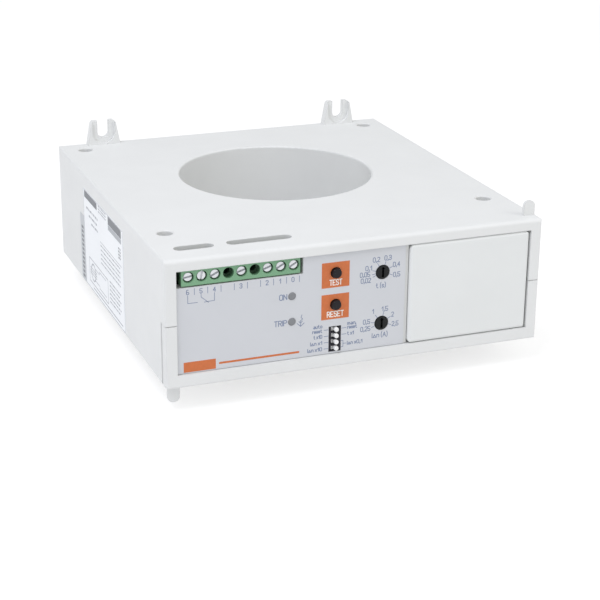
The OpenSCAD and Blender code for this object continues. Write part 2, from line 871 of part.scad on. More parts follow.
// Lamp with a round tip, its flange and two leads
module lamp(z) {
    color("#b9bcc0") in_case() union() {
        facing_front(lamp_x, lamp_back_y, z) union() {
            cylinder(d = lamp_d + 2 * lamp_flange, h = lamp_flange_t);
            round_top_pin(lamp_d, lamp_back_y - lamp_tip_y, lamp_edge_r);
        }
        for (side = [-1, 1])
            along_y(lamp_x + side * lead_pitch / 2, lamp_back_y - lamp_flange_t / 2, z, lead_d, display_back + 1 - lamp_back_y);
    }
}

module lamp_spacers() {
    color(black) in_case() for (z = [on_z, trip_z]) difference() {
        along_y(lamp_x, lamp_back_y, z, lamp_d + 2 * lamp_flange + 0.2, display_y - lamp_back_y);
        for (side = [-1, 1])
            along_y(lamp_x + side * lead_pitch / 2, lamp_back_y - over, z, lead_d + lead_gap, display_y);
    }
}

// Boards and inner pieces

module link_holes() {
    for (i = [0:link_count - 1]) translate([link_x + i * link_pitch, link_z]) circle(d = link_hole_d);
}

module display_board() {
    color(board_green) in_case() in_front(display_y, board_t) difference() {
        polygon([
            [display_x, display_z], [display_right, display_z], [display_right, display_top],
            [display_notch_x, display_top], [display_notch_x, display_low_top], [display_x, display_low_top]
        ]);
        link_holes();
        for (z = [on_z, trip_z], side = [-1, 1])
            translate([lamp_x + side * lead_pitch / 2, z]) circle(d = lead_d + lead_gap);
    }
}

module control_board() {
    color(board_green) in_case() in_front(control_y, board_t) difference() {
        translate([control_x, control_z]) square([case_w - 2 * control_x, ceiling - 0.4 - control_z]);
        link_holes();
        for (p = live_poles) translate([pole_x(p), pin_z]) circle(d = pin_d + 2 * bar_gap);
    }
}

module board_spacers() {
    color("#e9e4d2") in_case() for (at = spacers) difference() {
        along_y(at.x, display_back, at.y, spacer_d, control_y - display_back);
        along_y(at.x, display_back - over, at.y, spacer_hole, control_y);
    }
}

module link_header() {
    color(black) in_case() in_front(display_back, control_y - display_back) difference() {
        translate([link_x - link_pitch / 2, link_z - link_strip / 2]) square([link_count * link_pitch, link_strip]);
        link_holes();
    }
}

module link_pins() {
    color("#cfae6a") in_case() for (i = [0:link_count - 1])
        along_y(link_x + i * link_pitch, display_y - link_pin_out / 2, link_z, link_pin_d,
            control_back - display_y + 1.5 * link_pin_out);
}

// Block on the back of the control board
module on_control_board(x, z, size, r) {
    in_case() in_front(control_back, size.y) translate([x, z]) rounded_rect([size.x, size.z], r);
}

module output_relay() {
    color("#3b4a66") on_control_board(relay_x, relay_z, [relay_w, relay_d, relay_h], 0.8);
}

module transformer_core() {
    window_w = leg_w;
    window_h = stack_h - 2 * leg_w;
    color("#55585c") in_case() translate([stack_x, stack_y, stack_z]) difference() {
        cube([stack_w, stack_d, stack_h]);
        for (x = [leg_w, 4 * leg_w]) translate([x, -over, leg_w]) cube([window_w, stack_d + 2 * over, window_h]);
    }
}

module transformer_coil() {
    coil_w = 4 * leg_w - 2 * coil_gap;
    hole_w = 2 * (leg_w + coil_gap);
    coil_d = stack_d + 2 * (coil_build + coil_gap);
    color("#d8b04a") in_case() difference() {
        in_front(control_back, coil_d) translate([stack_x + leg_w + coil_gap, stack_z + leg_w + coil_gap])
            rounded_rect([coil_w, coil_h], 0.8);
        translate([stack_x + (stack_w - hole_w) / 2, stack_y - coil_gap, stack_z])
            cube([hole_w, stack_d + 2 * coil_gap, stack_h]);
    }
}

module reservoir_capacitor() {
    vent = 0.4;
    color("#2c3f73") in_case() facing_front(cap_x, control_back + cap_len, cap_z) difference() {
        cylinder(d = cap_d, h = cap_len);
        for (a = [0, 60, 120]) rotate([0, 0, a])
            translate([-0.3 * cap_d, -vent / 2, -over]) cube([0.6 * cap_d, vent, over + vent]);
    }
}

module control_chip() {
    color(black) on_control_board(chip_x, chip_z, [chip_w, chip_d, chip_h], 0.4);
}

module lead_plug() {
    color("#e9e4d2") on_control_board(bore_x - plug_w / 2, plug_z, [plug_w, plug_d, plug_h], 0.5);
}

module winding_leads() {
    start = control_back + plug_d;
    reach = bore_y - sqrt(ring_out * ring_out - winding_lead_x * winding_lead_x) - 0.1;
    color("#8c2f2a") in_case() for (side = [-1, 1])
        along_y(bore_x + side * winding_lead_x, start, plug_z + plug_h / 2, winding_lead_d, reach - start);
}

// Section of the ring between two radii, inset from the winding's outside
module ring_section(inset, r) {
    translate([ring_in + inset, ring_z + inset]) rounded_rect([ring_w - 2 * inset, ring_h - 2 * inset], r);
}

module ring_core() {
    color("#6d7075") in_case() translate([bore_x, bore_y, 0]) rotate_extrude()
        ring_section(winding_t + core_gap, 0.3);
}

module ring_winding() {
    color("#b5622e") in_case() translate([bore_x, bore_y, 0]) rotate_extrude() difference() {
        ring_section(0, ring_r);
        translate([ring_in + winding_t, ring_z + winding_t])
            square([ring_w - 2 * winding_t, ring_h - 2 * winding_t]);
    }
}

upper_shell();
base();
case_screws();
front_panel();
panel_overlay();
blank_cover();
terminal_block();
for (p = live_poles) {
    terminal_screw(p);
    terminal_cage(p);
}
terminal_bars();
push_button(test_z);  // test_button
key_plunger(test_z);  // test_plunger
key_switch(test_z);  // test_switch
push_button(reset_z);  // reset_button
key_plunger(reset_z);  // reset_plunger
key_switch(reset_z);  // reset_switch
trimmer_rotor(time_z);  // time_rotor
trimmer_body(time_z);  // time_trimmer
trimmer_rotor(current_z);  // current_rotor
trimmer_body(current_z);  // current_trimmer
dip_body();
for (i = [1:dip_count])
    dip_slider(i);
lamp(on_z);  // on_lamp
lamp(trip_z);  // trip_lamp
lamp_spacers();
display_board();
control_board();
board_spacers();
link_header();
link_pins();
output_relay();
transformer_core();
transformer_coil();
reservoir_capacitor();
control_chip();
lead_plug();
winding_leads();
ring_core();
ring_winding();
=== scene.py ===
import itertools
import json
import math

import bmesh
import bpy
from mathutils import Matrix, Vector
from mathutils.geometry import delaunay_2d_cdt


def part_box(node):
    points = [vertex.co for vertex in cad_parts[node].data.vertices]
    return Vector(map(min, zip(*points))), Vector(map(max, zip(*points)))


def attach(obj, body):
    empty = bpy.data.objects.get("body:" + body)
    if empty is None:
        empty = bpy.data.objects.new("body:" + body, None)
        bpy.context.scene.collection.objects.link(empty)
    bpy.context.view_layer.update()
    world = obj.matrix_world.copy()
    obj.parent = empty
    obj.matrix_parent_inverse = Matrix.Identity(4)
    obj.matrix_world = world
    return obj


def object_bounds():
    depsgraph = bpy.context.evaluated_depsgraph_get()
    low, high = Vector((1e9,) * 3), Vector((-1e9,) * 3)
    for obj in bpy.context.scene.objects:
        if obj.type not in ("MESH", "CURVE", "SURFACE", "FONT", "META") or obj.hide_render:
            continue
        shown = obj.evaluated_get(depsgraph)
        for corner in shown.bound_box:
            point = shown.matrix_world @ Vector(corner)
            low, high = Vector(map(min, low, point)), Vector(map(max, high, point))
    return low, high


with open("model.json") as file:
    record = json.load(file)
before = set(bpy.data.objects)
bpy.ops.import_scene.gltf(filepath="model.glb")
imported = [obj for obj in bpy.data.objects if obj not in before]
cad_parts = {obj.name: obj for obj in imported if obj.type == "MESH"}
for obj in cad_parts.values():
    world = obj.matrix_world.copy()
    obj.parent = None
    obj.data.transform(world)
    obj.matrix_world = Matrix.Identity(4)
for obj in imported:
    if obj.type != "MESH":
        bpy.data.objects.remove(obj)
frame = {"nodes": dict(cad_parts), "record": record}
cad_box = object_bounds()
nodes = frame["nodes"]

MM = 0.001
# Case coordinates are in millimetres: x from the left side, y from the front, z from the underside
BORE = next(m for m in frame["record"]["mounts"] if m["name"] == "cable_bore")
# Rounding of the bore's rims, which its straight wall leaves out
RIM_R = 0.8
HALF_H = BORE["dims"]["length_mm"] / 2 + RIM_R
ORIGIN = Vector((-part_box("upper_shell")[0].x / MM, -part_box("base")[0].y / MM, HALF_H))


def at(x, y, z):
    """A point in case coordinates as a point of the row frame, in metres."""
    return (Vector((x, y, z)) - ORIGIN) * MM


def place_of(node):
    """Middle of a CAD node in case coordinates."""
    low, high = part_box(node)
    return (low + high) / 2 / MM + ORIGIN


def linear(r, g, b):
    """A colour of 0 to 255 on the sRGB curve as the linear colour that a shader takes."""
    def one(v):
        v /= 255
        return v / 12.92 if v <= 0.04045 else ((v + 0.055) / 1.055) ** 2.4
    return (one(r), one(g), one(b), 1.0)


# Materials

# Range that a noise texture's values mostly keep to
NOISE_LOW, NOISE_HIGH = 0.3, 0.7
BEVEL_SAMPLES = 6
# Scale of the noise that makes a drawn metal's fine lines, along each axis
DRAWN_LINES = (400, 4000, 400)


class Shader:
    """A material's node tree with short calls to add and link nodes."""

    def __init__(self, name):
        self.mat = bpy.data.materials.new(name)
        self.mat.use_nodes = True
        self.tree = self.mat.node_tree
        self.bsdf = self.tree.nodes["Principled BSDF"]
        self.coords = self.add("ShaderNodeTexCoord").outputs["Object"]

    def add(self, kind, **values):
        node = self.tree.nodes.new(kind)
        for key, value in values.items():
            setattr(node, key, value)
        return node

    def link(self, out, into):
        self.tree.links.new(out, into)

    def split(self):
        """The object's own coordinates, one output for each axis."""
        node = self.add("ShaderNodeSeparateXYZ")
        self.link(self.coords, node.inputs["Vector"])
        return node.outputs

    def noise(self, scale, detail=2.0, roughness=0.5, vector=None):
        node = self.add("ShaderNodeTexNoise")
        node.inputs["Scale"].default_value = scale
        node.inputs["Detail"].default_value = detail
        node.inputs["Roughness"].default_value = roughness
        self.link(vector or self.coords, node.inputs["Vector"])
        return node.outputs["Fac"]

    def spread(self, value, low, high, start=NOISE_LOW, end=NOISE_HIGH):
        """A value between start and end as one between low and high."""
        node = self.add("ShaderNodeMapRange")
        node.inputs["From Min"].default_value = start
        node.inputs["From Max"].default_value = end
        node.inputs["To Min"].default_value = low
        node.inputs["To Max"].default_value = high
        self.link(value, node.inputs["Value"])
        return node.outputs["Result"]

    def math(self, operation, a, b=None):
        node = self.add("ShaderNodeMath", operation=operation)
        for value, socket in ((a, node.inputs[0]), (b, node.inputs[1])):
            if value is None:
                continue
            if isinstance(value, (int, float)):
                socket.default_value = value
            else:
                self.link(value, socket)
        return node.outputs[0]

    def mix(self, factor, **values):
        """A mix of two colours: its two colour inputs and its output."""
        node = self.add("ShaderNodeMix", data_type="RGBA", **values)
        self.link(factor, node.inputs["Factor"])
        first, second = (s for s in node.inputs if s.type == "RGBA")
        return first, second, next(s for s in node.outputs if s.type == "RGBA")

    def tint(self, fac, colour, amount):
        """Base colour that wanders by amount around one colour."""
        dark, light, out = self.mix(self.spread(fac, 0, 1))
        dark.default_value = tuple(c * (1 - amount) for c in colour[:3]) + (1.0,)
        light.default_value = tuple(c * (1 + amount) for c in colour[:3]) + (1.0,)
        self.link(out, self.bsdf.inputs["Base Color"])

    def paint_depth_shade(self, near, far, share):
        """Painted shade: base colour that falls to a share of itself between two depths along Y, standing in
        for the shade in holes.
        """
        base = self.bsdf.inputs["Base Color"]
        depth = self.spread(self.split()["Y"], 0, 1, near, far)
        plain, dark, out = self.mix(depth, blend_type="MULTIPLY")
        self.link(base.links[0].from_socket, plain)
        dark.default_value = (share, share, share, 1.0)
        self.link(out, base)

    def relief(self, height, strength, depth, edge=0.0):
        """Bump from a height, over edges softened by the given radius."""
        bump = self.add("ShaderNodeBump")
        bump.inputs["Strength"].default_value = strength
        bump.inputs["Distance"].default_value = depth
        self.link(height, bump.inputs["Height"])
        if edge:
            bevel = self.add("ShaderNodeBevel", samples=BEVEL_SAMPLES)
            bevel.inputs["Radius"].default_value = edge
            self.link(bevel.outputs["Normal"], bump.inputs["Normal"])
        self.link(bump.outputs["Normal"], self.bsdf.inputs["Normal"])

    def roughness(self, fac, middle, amount):
        self.link(self.spread(fac, middle - amount, middle + amount), self.bsdf.inputs["Roughness"])


def plastic(name, colour, rough=0.45, grain=0.12, grain_scale=2600, mottle=0.012, edge=0.0, coat=0.0,
            shine=0.5, painted_shade=None):
    """Moulded plastic with a fine spark-eroded grain.

    deep holds the two depths between which the colour is darkened by painted shade, standing in for the shade
    in holes, and the share of its colour that is left.
    """
    s = Shader(name)
    s.tint(s.noise(scale=55, detail=3), colour, mottle)
    # Painted shade in holes: the colour darkens with depth
    if painted_shade:
        s.paint_depth_shade(*painted_shade)
    s.roughness(s.noise(scale=140), rough, amount=0.05)
    s.relief(s.noise(grain_scale, roughness=0.6), grain, depth=0.00004, edge=edge)
    s.bsdf.inputs["Coat Weight"].default_value = coat
    s.bsdf.inputs["Specular IOR Level"].default_value = shine
    return s.mat


def metal(name, colour, rough=0.28, edge=0.0):
    """Plated metal with fine drawn lines."""
    s = Shader(name)
    stretch = s.add("ShaderNodeMapping")
    stretch.inputs["Scale"].default_value = DRAWN_LINES
    s.link(s.coords, stretch.inputs["Vector"])
    lines = s.noise(scale=1.0, detail=3, roughness=0.6, vector=stretch.outputs["Vector"])
    s.tint(s.noise(scale=300), colour, amount=0.05)
    s.roughness(lines, rough, amount=0.08)
    s.relief(lines, strength=0.15, depth=0.00002, edge=edge)
    s.bsdf.inputs["Metallic"].default_value = 1.0
    return s.mat


def ink(name, colour, rough=0.5):
    """Screen print: thin, even ink with a faint mesh texture."""
    s = Shader(name)
    s.tint(s.noise(scale=900), colour, amount=0.05)
    s.roughness(s.noise(scale=700), rough, amount=0.06)
    s.relief(s.noise(scale=6000, detail=1), strength=0.08, depth=0.00001)
    return s.mat


def circuit_board(name):
    """Green solder mask with darker tracks under it."""
    s = Shader(name)
    tracks = s.add("ShaderNodeTexBrick")
    tracks.inputs["Scale"].default_value = 160
    tracks.inputs["Color1"].default_value = linear(34, 104, 62)
    tracks.inputs["Color2"].default_value = linear(28, 92, 54)
    tracks.inputs["Mortar"].default_value = linear(20, 74, 44)
    tracks.inputs["Mortar Size"].default_value = 0.03
    s.link(s.coords, tracks.inputs["Vector"])
    s.link(tracks.outputs["Color"], s.bsdf.inputs["Base Color"])
    s.roughness(s.noise(scale=300), middle=0.35, amount=0.06)
    s.relief(tracks.outputs["Fac"], strength=0.2, depth=0.00003)
    return s.mat


def wound(name, colour, turns):
    """Wire wound round the ring: ridges counted round the bore's axis."""
    s = Shader(name)
    axes = s.split()
    angle = s.math("ARCTAN2", axes["Y"], axes["X"])
    ridges = s.math("ABSOLUTE", s.math("SINE", s.math("MULTIPLY", angle, turns / 2)))
    s.tint(s.noise(scale=220, detail=3), colour, amount=0.12)
    s.roughness(s.noise(scale=500), middle=0.32, amount=0.07)
    s.relief(ridges, strength=0.7, depth=0.0003)
    s.bsdf.inputs["Metallic"].default_value = 0.7
    return s.mat


def layered(name, colour, pitch, axis):
    """Stacked or wound steel strip, with a line at every layer along an axis or outward from the bore."""
    s = Shader(name)
    axes = s.split()
    if axis == "radius":
        x2 = s.math("MULTIPLY", axes["X"], axes["X"])
        y2 = s.math("MULTIPLY", axes["Y"], axes["Y"])
        along = s.math("SQRT", s.math("ADD", x2, y2))
    else:
        along = axes[axis]
    lines = s.math("SINE", s.math("MULTIPLY", along, 2 * math.pi / pitch))
    s.tint(s.noise(scale=150, detail=3), colour, amount=0.1)
    s.roughness(s.noise(scale=400), middle=0.4, amount=0.08)
    s.relief(lines, strength=0.4, depth=0.0001)
    s.bsdf.inputs["Metallic"].default_value = 0.9
    return s.mat


# Mouldings that show
case_mat = plastic("case_plastic", linear(229, 230, 229), rough=0.42, edge=0.0004)
cover_mat = plastic("cover_plastic", linear(229, 231, 230), rough=0.40, edge=0.0003)
panel_mat = plastic("panel_plastic", linear(212, 213, 211), rough=0.5, shine=0.3)
film_mat = plastic("film_print", linear(208, 210, 214), rough=0.40, grain=0.05, grain_scale=5000, coat=0.1)
# Painted shade: the terminal block's colour darkens in its holes between two depths, to a share of itself
HOLE_SHADE_START, HOLE_SHADE_END, HOLE_SHADE_SHARE = 0.4, 3, 0.3
block_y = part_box("terminal_block")[0].y
block_hole_shade = (block_y + HOLE_SHADE_START * MM, block_y + HOLE_SHADE_END * MM, HOLE_SHADE_SHARE)
green_and_hole_shade_mat = plastic("terminal_green", linear(122, 168, 131), rough=0.40, grain=0.06, mottle=0.03,
                    edge=0.00015, painted_shade=block_hole_shade)
black_mat = plastic("control_black", linear(24, 21, 25), rough=0.50, grain=0.05, edge=0.0002, shine=0.3)
rotor_mat = plastic("rotor_black", linear(13, 16, 17), rough=0.36, grain=0.05, edge=0.0002, shine=0.3)
switch_mat = plastic("switch_black", linear(33, 33, 42), rough=0.55, grain=0.08, edge=0.0001, shine=0.35)
white_mat = plastic("slider_white", linear(244, 244, 243), rough=0.35, grain=0.03)
lamp_mat = plastic("lamp_lens", linear(134, 136, 139), rough=0.45, grain=0.02, shine=0.35)

# Mouldings and wrappings inside
nylon_mat = plastic("nylon", linear(232, 226, 205), rough=0.5)
relay_mat = plastic("relay_case", linear(60, 76, 108), rough=0.4)
blue_mat = plastic("trimmer_body", linear(58, 108, 178), rough=0.38)
sleeve_mat = plastic("capacitor_sleeve", linear(44, 62, 118), rough=0.3, coat=0.4)
tape_mat = plastic("coil_tape", linear(222, 180, 74), rough=0.45)
lead_mat = plastic("lead_red", linear(150, 44, 38), rough=0.5)

# Metal and boards
screw_mat = metal("screw_plating", linear(214, 216, 219), rough=0.27, edge=0.00012)
clamp_mat = metal("clamp_plating", linear(206, 208, 212), rough=0.32)
brass_mat = metal("contact_brass", linear(206, 176, 110), rough=0.3)
board_mat = circuit_board("solder_mask")
copper_mat = wound("ring_wire", linear(190, 108, 54), turns=420)
core_mat = layered("ring_strip", linear(150, 153, 158), pitch=0.0008, axis="radius")
stack_mat = layered("lamination_stack", linear(110, 113, 118), pitch=0.0009, axis="Y")

MATERIALS = {
    case_mat: ["upper_shell", "base"],
    cover_mat: ["blank_cover"],
    panel_mat: ["front_panel"],
    film_mat: ["panel_overlay"],
    green_and_hole_shade_mat: ["terminal_block"],
    black_mat: ["test_button", "test_plunger", "reset_button", "reset_plunger"],
    rotor_mat: ["time_rotor", "current_rotor"],
    switch_mat: ["dip_body", "test_switch", "reset_switch", "lamp_spacers", "link_header", "control_chip"],
    lamp_mat: ["on_lamp", "trip_lamp"],
    nylon_mat: ["board_spacers", "lead_plug"],
    relay_mat: ["output_relay"],
    blue_mat: ["time_trimmer", "current_trimmer"],
    sleeve_mat: ["reservoir_capacitor"],
    tape_mat: ["transformer_coil"],
    lead_mat: ["winding_leads"],
    brass_mat: ["terminal_bars", "link_pins"],
    board_mat: ["display_board", "control_board"],
    copper_mat: ["ring_winding"],
    core_mat: ["ring_core"],
    stack_mat: ["transformer_core"],
    white_mat: [n for n in nodes if n.startswith("dip_slider")],
    screw_mat: ["case_screws"] + [n for n in nodes if n.startswith("terminal_screw")],
    clamp_mat: [n for n in nodes if n.startswith("terminal_cage")],
}
for material, names in MATERIALS.items():
    for name in names:
        nodes[name].data.materials.clear()
        nodes[name].data.materials.append(material)


# Print

DELTA = "\u0394"
# Letters as strokes on a grid: x from 0 to 4, base line at y 2, small letters to 6 and capitals to 8
LETTERS = {
    " ": "", ",": "13 12 01", ".": "02 03", "(": "19 07 03 11", ")": "09 17 13 01",
    "0": "12 32 43 47 38 18 07 03 12", "1": "06 28 22", "2": "07 18 38 47 46 02 42",
    "3": "07 18 38 47 46 35 15 / 35 44 43 32 12 03", "4": "32 38 04 44",
    "5": "48 08 05 35 44 43 32 12 03", "6": "38 18 07 03 12 32 43 44 35 15 04",
    "A": "02 28 42 / 14 34", "E": "42 02 08 48 / 05 35", "I": "02 08", "N": "02 08 42 48",
    "O": "12 32 43 47 38 18 07 03 12", "P": "02 08 38 47 46 35 05",
    "R": "02 08 38 47 46 35 05 / 25 42", "S": "03 12 32 43 44 35 15 06 07 18 38 47",
    "T": "08 48 / 28 22", DELTA: "02 26 42 02",
    "a": "16 26 35 32 / 34 14 03 12 22 33", "e": "04 34 35 26 16 05 03 12 22 33",
    "m": "02 06 / 05 16 25 22 / 25 36 45 42", "n": "02 06 / 05 16 26 35 32",
    "o": "12 22 33 35 26 16 05 03 12", "r": "02 06 / 05 16 26",
    "s": "03 12 22 33 24 14 05 16 26 35", "t": "18 13 22 32 / 06 26",
    "u": "06 03 12 22 33 / 36 32", "x": "02 36 / 06 32",
}
# A capital's height and its middle line on that grid
CAPITAL, MIDDLE = 6, 5
LETTER_GAP, WORD_GAP = 1.4, 2.0
# Width of letters against their height for words that are given no width
NARROW = 0.8
# Width of strokes, in millimetres
THIN, FINE, PLAIN, BOLD = 0.22, 0.29, 0.29, 0.34
ROUND_END_STEPS = 8
# How overlapping strokes are joined: only their insides are filled, and points this close become one
FILL_INSIDE, SAME_POINT = 1, 1e-4
# Gap between two bars of small print, as a share of their height
BAR_GAP = 0.9


class Print:
    """Flat shapes gathered into one thin piece on a face of the case."""

    def __init__(self, place):
        self.bm = bmesh.new()
        self.place = place

    def shape(self, points, holes=()):
        """A filled outline with holes, each a list of points in the face's own two directions."""
        edges = []
        for loop in (points, *holes):
            verts = [self.bm.verts.new(self.place(u, v)) for u, v in loop]
            edges += [self.bm.edges.new((a, b)) for a, b in zip(verts, verts[1:] + verts[:1])]
        bmesh.ops.triangle_fill(self.bm, edges=edges, use_beauty=True)

    def strokes(self, paths, width):
        """Lines of even width with round ends and corners, joined into one flat shape."""
        corners, faces = [], []

        def add(points):
            faces.append(list(range(len(corners), len(corners) + len(points))))
            corners.extend(Vector(p) for p in points)

        for path in paths:
            points = [Vector(p) for p in path]
            for a, b in zip(points, points[1:]):
                way = (b - a).normalized() * width / 2
                side = Vector((-way.y, way.x))
                add([a - side, b - side, b + side, a + side])
            for p in points:
                add(circle(p.x, p.y, width / 2, ROUND_END_STEPS))
        flat, _, triangles, _, _, parts = delaunay_2d_cdt(corners, [], faces, FILL_INSIDE, SAME_POINT)
        verts = [self.bm.verts.new(self.place(*p)) for p in flat]
        for triangle, inside in zip(triangles, parts):
            if inside:
                self.bm.faces.new([verts[i] for i in triangle])

    def text(self, words, u, v, height, width=None, start=0.5, weight=PLAIN):
        """Words of a capital height, squeezed to a width if one is given.

        u is the place that lies a share, start, of the way along them, and v is their middle line.
        """
        paths = []
        pen = 0.0
        for letter in words:
            drawn = [[(pen + int(x), int(y)) for x, y in path.split()] for path in LETTERS[letter].split("/")]
            paths += drawn
            blank_end = pen + WORD_GAP - LETTER_GAP
            pen = max((x for path in drawn for x, _ in path), default=blank_end) + LETTER_GAP
        length = pen - LETTER_GAP
        tall = (height - weight) / CAPITAL
        across = (width - weight) / length if width else tall * NARROW
        left = u - start * (across * length + weight) + weight / 2
        placed = [[(left + across * x, v + tall * (y - MIDDLE)) for x, y in path] for path in paths]
        self.strokes(placed, weight)

    def bars(self, u0, u1, v, height, lengths):
        """A row of plain bars from u0 to u1 that stands for small print too fine to read."""
        way = 1 if u1 > u0 else -1
        u = u0
        for length in itertools.cycle(lengths):
            end = u + way * length
            if (end - u1) * way > 0:
                break
            self.shape(rectangle(min(u, end), v - height / 2, max(u, end), v + height / 2))
            u = end + way * height * BAR_GAP

    def rows(self, count, start, end, top, pitch, height, lengths, start_step=0, end_step=0):
        """Rows of bars from the top down; start moves in with each row, end with every other one."""
        for row in range(count):
            first, last = start - start_step * row, end + end_step * (row % 2)
            self.bars(first, last, top - pitch * row, height, lengths)

    def finish(self, name, material, thickness, outward):
        """Makes the piece, thickened along outward, and sets it on the case."""
        bmesh.ops.remove_doubles(self.bm, verts=self.bm.verts, dist=1e-7)
        made = bmesh.ops.extrude_face_region(self.bm, geom=self.bm.faces[:])
        moved = [g for g in made["geom"] if isinstance(g, bmesh.types.BMVert)]
        bmesh.ops.translate(self.bm, verts=moved, vec=Vector(outward) * thickness * MM)
        bmesh.ops.recalc_face_normals(self.bm, faces=self.bm.faces[:])
        mesh = bpy.data.meshes.new(name)
        self.bm.to_mesh(mesh)
        self.bm.free()
        mesh.materials.append(material)
        piece = bpy.data.objects.new(name, mesh)
        bpy.context.scene.collection.objects.link(piece)
        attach(piece, "case")


def rectangle(u0, v0, u1, v1, r=0.0, steps=6):
    """Outline of a rectangle, with round corners if r is given."""
    if r <= 0:
        return [(u0, v0), (u1, v0), (u1, v1), (u0, v1)]
    corners = ((u1 - r, v0 + r, -90), (u1 - r, v1 - r, 0), (u0 + r, v1 - r, 90), (u0 + r, v0 + r, 180))
    points = []
    for cu, cv, start in corners:
        for i in range(steps + 1):
            a = math.radians(start + 90 * i / steps)
            points.append((cu + r * math.cos(a), cv + r * math.sin(a)))
    return points


def inset(box, by):
    """A rectangle's limits moved inward on all four sides."""
    u0, v0, u1, v1 = box
    return (u0 + by, v0 + by, u1 - by, v1 - by)


def circle(u, v, r, steps=48):
    angles = [2 * math.pi * i / steps for i in range(steps)]
    return [(u + r * math.cos(a), v + r * math.sin(a)) for a in angles]


FRONT = (0, -1, 0)
LEFT = (-1, 0, 0)
PRINT_T = 0.02
LABEL_T = 0.08
FILM_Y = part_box("panel_overlay")[0].y / MM + ORIGIN.y


def on_film(lift):
    """Places points of x and z on the film, lift millimetres in front of it."""
    return lambda x, z: at(x, FILM_Y - lift, z)


def on_side(lift):
    """Places points of y and z on the left side, lift millimetres outside it."""
    return lambda y, z: at(-lift, y, z)


legends = Print(on_film(0.0))

# Terminal numbers, and the bars between them
POLE_COUNT = 9
FIRST_X = place_of("terminal_screw_1").x
PITCH = (place_of("terminal_screw_9").x - FIRST_X) / (POLE_COUNT - 1)
PRINT_SHIFT = -0.42
NUMBERS = {1: "6", 2: "5", 3: "4", 5: "3", 7: "2", 8: "1", 9: "0"}
NUMBER_Z, NUMBER_H = 36.8, 2.0
BAR_HALF_H = 1.2


def pole_x(pole):
    """Where a pole's number is printed, a little left of its screw."""
    return FIRST_X + (pole - 1) * PITCH + PRINT_SHIFT


for pole, number in NUMBERS.items():
    legends.text(number, pole_x(pole), NUMBER_Z, NUMBER_H)
for pole in range(1, POLE_COUNT + 1):
    bar_x = pole_x(pole) + PITCH / 2
    legends.strokes([[(bar_x, NUMBER_Z - BAR_HALF_H), (bar_x, NUMBER_Z + BAR_HALF_H)]], THIN)

# Change-over contact under the first three poles: each pole's line, from its number down
FOOT_Z = NUMBER_Z - 4.3
CONTACT = {
    1: [(0, 3.0), (0, 0), (3.7, 0)],
    2: [(0, 3.0), (0, 1.9), (2.8, -0.5)],
    3: [(0, 3.0), (0, 0), (-3.9, -0.2)],
}
for pole, line in CONTACT.items():
    legends.strokes([[(pole_x(pole) + x, FOOT_Z + z) for x, z in line]], THIN)

# Lamps, and the fault arrow beside the second one
LAMP_WORDS_X, LAMP_WORD_H = 47.4, 2.4
LAMP_WORDS = (("on_lamp", "ON", -0.05, 3.2), ("trip_lamp", "TRIP", -0.2, 5.2))
for lamp, words, up, width in LAMP_WORDS:
    legends.text(words, LAMP_WORDS_X, place_of(lamp).z + up, LAMP_WORD_H, width, start=1, weight=BOLD)
ARROW_X, ARROW_Z, ARROW_WIDTH = 52.8, 17.75, 0.253
ARROW = (
    [(0.5, 4.6), (0.15, 3.6), (0.8, 2.9), (0, 2.3), (0, 0)],
    [(-1.35, 1.3), (0, 0), (1.4, 1.25)],
    [(-0.7, 2.05), (0, 1.3), (0.7, 2.1)],
)
legends.strokes([[(ARROW_X + x, ARROW_Z + z) for x, z in line] for line in ARROW], ARROW_WIDTH)

# Dials: each number with its mark's angle, its place beside the rotor and its width
DIALS = {
    "time_rotor": (
        ("0,02", -158, -6.85, -2.7, 4.2), ("0,05", -172, -7.25, -0.25, 4.2), ("0,1", 167, -5.8, 2.15, 2.7),
        ("0,2", 121, -2.7, 5.2, 3.0), ("0,3", 74, 2.05, 5.5, 3.0), ("0,4", 24, 5.6, 2.5, 3.0),
        ("0,5", -22, 5.8, -1.55, 3.0), ("t (s)", None, -0.65, -5.25, 4.1)),
    "current_rotor": (
        ("0,25", -161, -6.6, -1.65, 4.2), ("0,5", 172, -6.15, 1.2, 3.0), ("1", 127, -3.6, 5.1, 0.8),
        ("1,5", 79, 1.3, 5.65, 2.8), ("2", 30.5, 4.6, 2.95, 1.15), ("2,5", -16, 5.75, -0.95, 2.9),
        (f"I{DELTA}n (A)", None, -0.55, -4.8, 6.6)),
}
DIAL_H = 2.05
MARK_RADII = (3.0, 4.3)
for rotor, marks in DIALS.items():
    dial = place_of(rotor)
    for words, angle, x, z, width in marks:
        legends.text(words, dial.x + x, dial.z + z, DIAL_H, width)
        if angle is not None:
            a = math.radians(angle)
            mark = [(dial.x + r * math.cos(a), dial.z + r * math.sin(a)) for r in MARK_RADII]
            legends.strokes([mark], THIN)

# Four-way switch: words on both sides, each with its row, its height over the row and its width
SWITCH_X = place_of("dip_body").x
ROW_SHIFT = 0.15
ROWS = [place_of(f"dip_slider_{i}").z + ROW_SHIFT for i in range(1, 5)]
SMALL = 1.6
LEFT_END, RIGHT_START = -5.1, 5.0
BRACKET_DROP = -1.25
LEFT_WORDS = (("auto", 0, 1.75, 3.8), ("reset", 0, -0.15, 4.1), ("t x10", 1, 0.1, 3.6),
              (f"I{DELTA}n x1", 2, 0.1, 4.9), (f"I{DELTA}n x10", 3, 0.1, 6.0))
RIGHT_WORDS = (("man.", 0, 1.7, 3.7), ("reset", 0, 0.1, 4.1), ("t x1", 1, 0.1, 2.8),
               (f"I{DELTA}n x0,1", 2, BRACKET_DROP, 6.4))
for words, row, up, width in LEFT_WORDS:
    legends.text(words, SWITCH_X + LEFT_END, ROWS[row] + up, SMALL, width, start=1, weight=FINE)
for words, row, up, width in RIGHT_WORDS:
    legends.text(words, SWITCH_X + RIGHT_START, ROWS[row] + up, SMALL, width, start=0, weight=FINE)

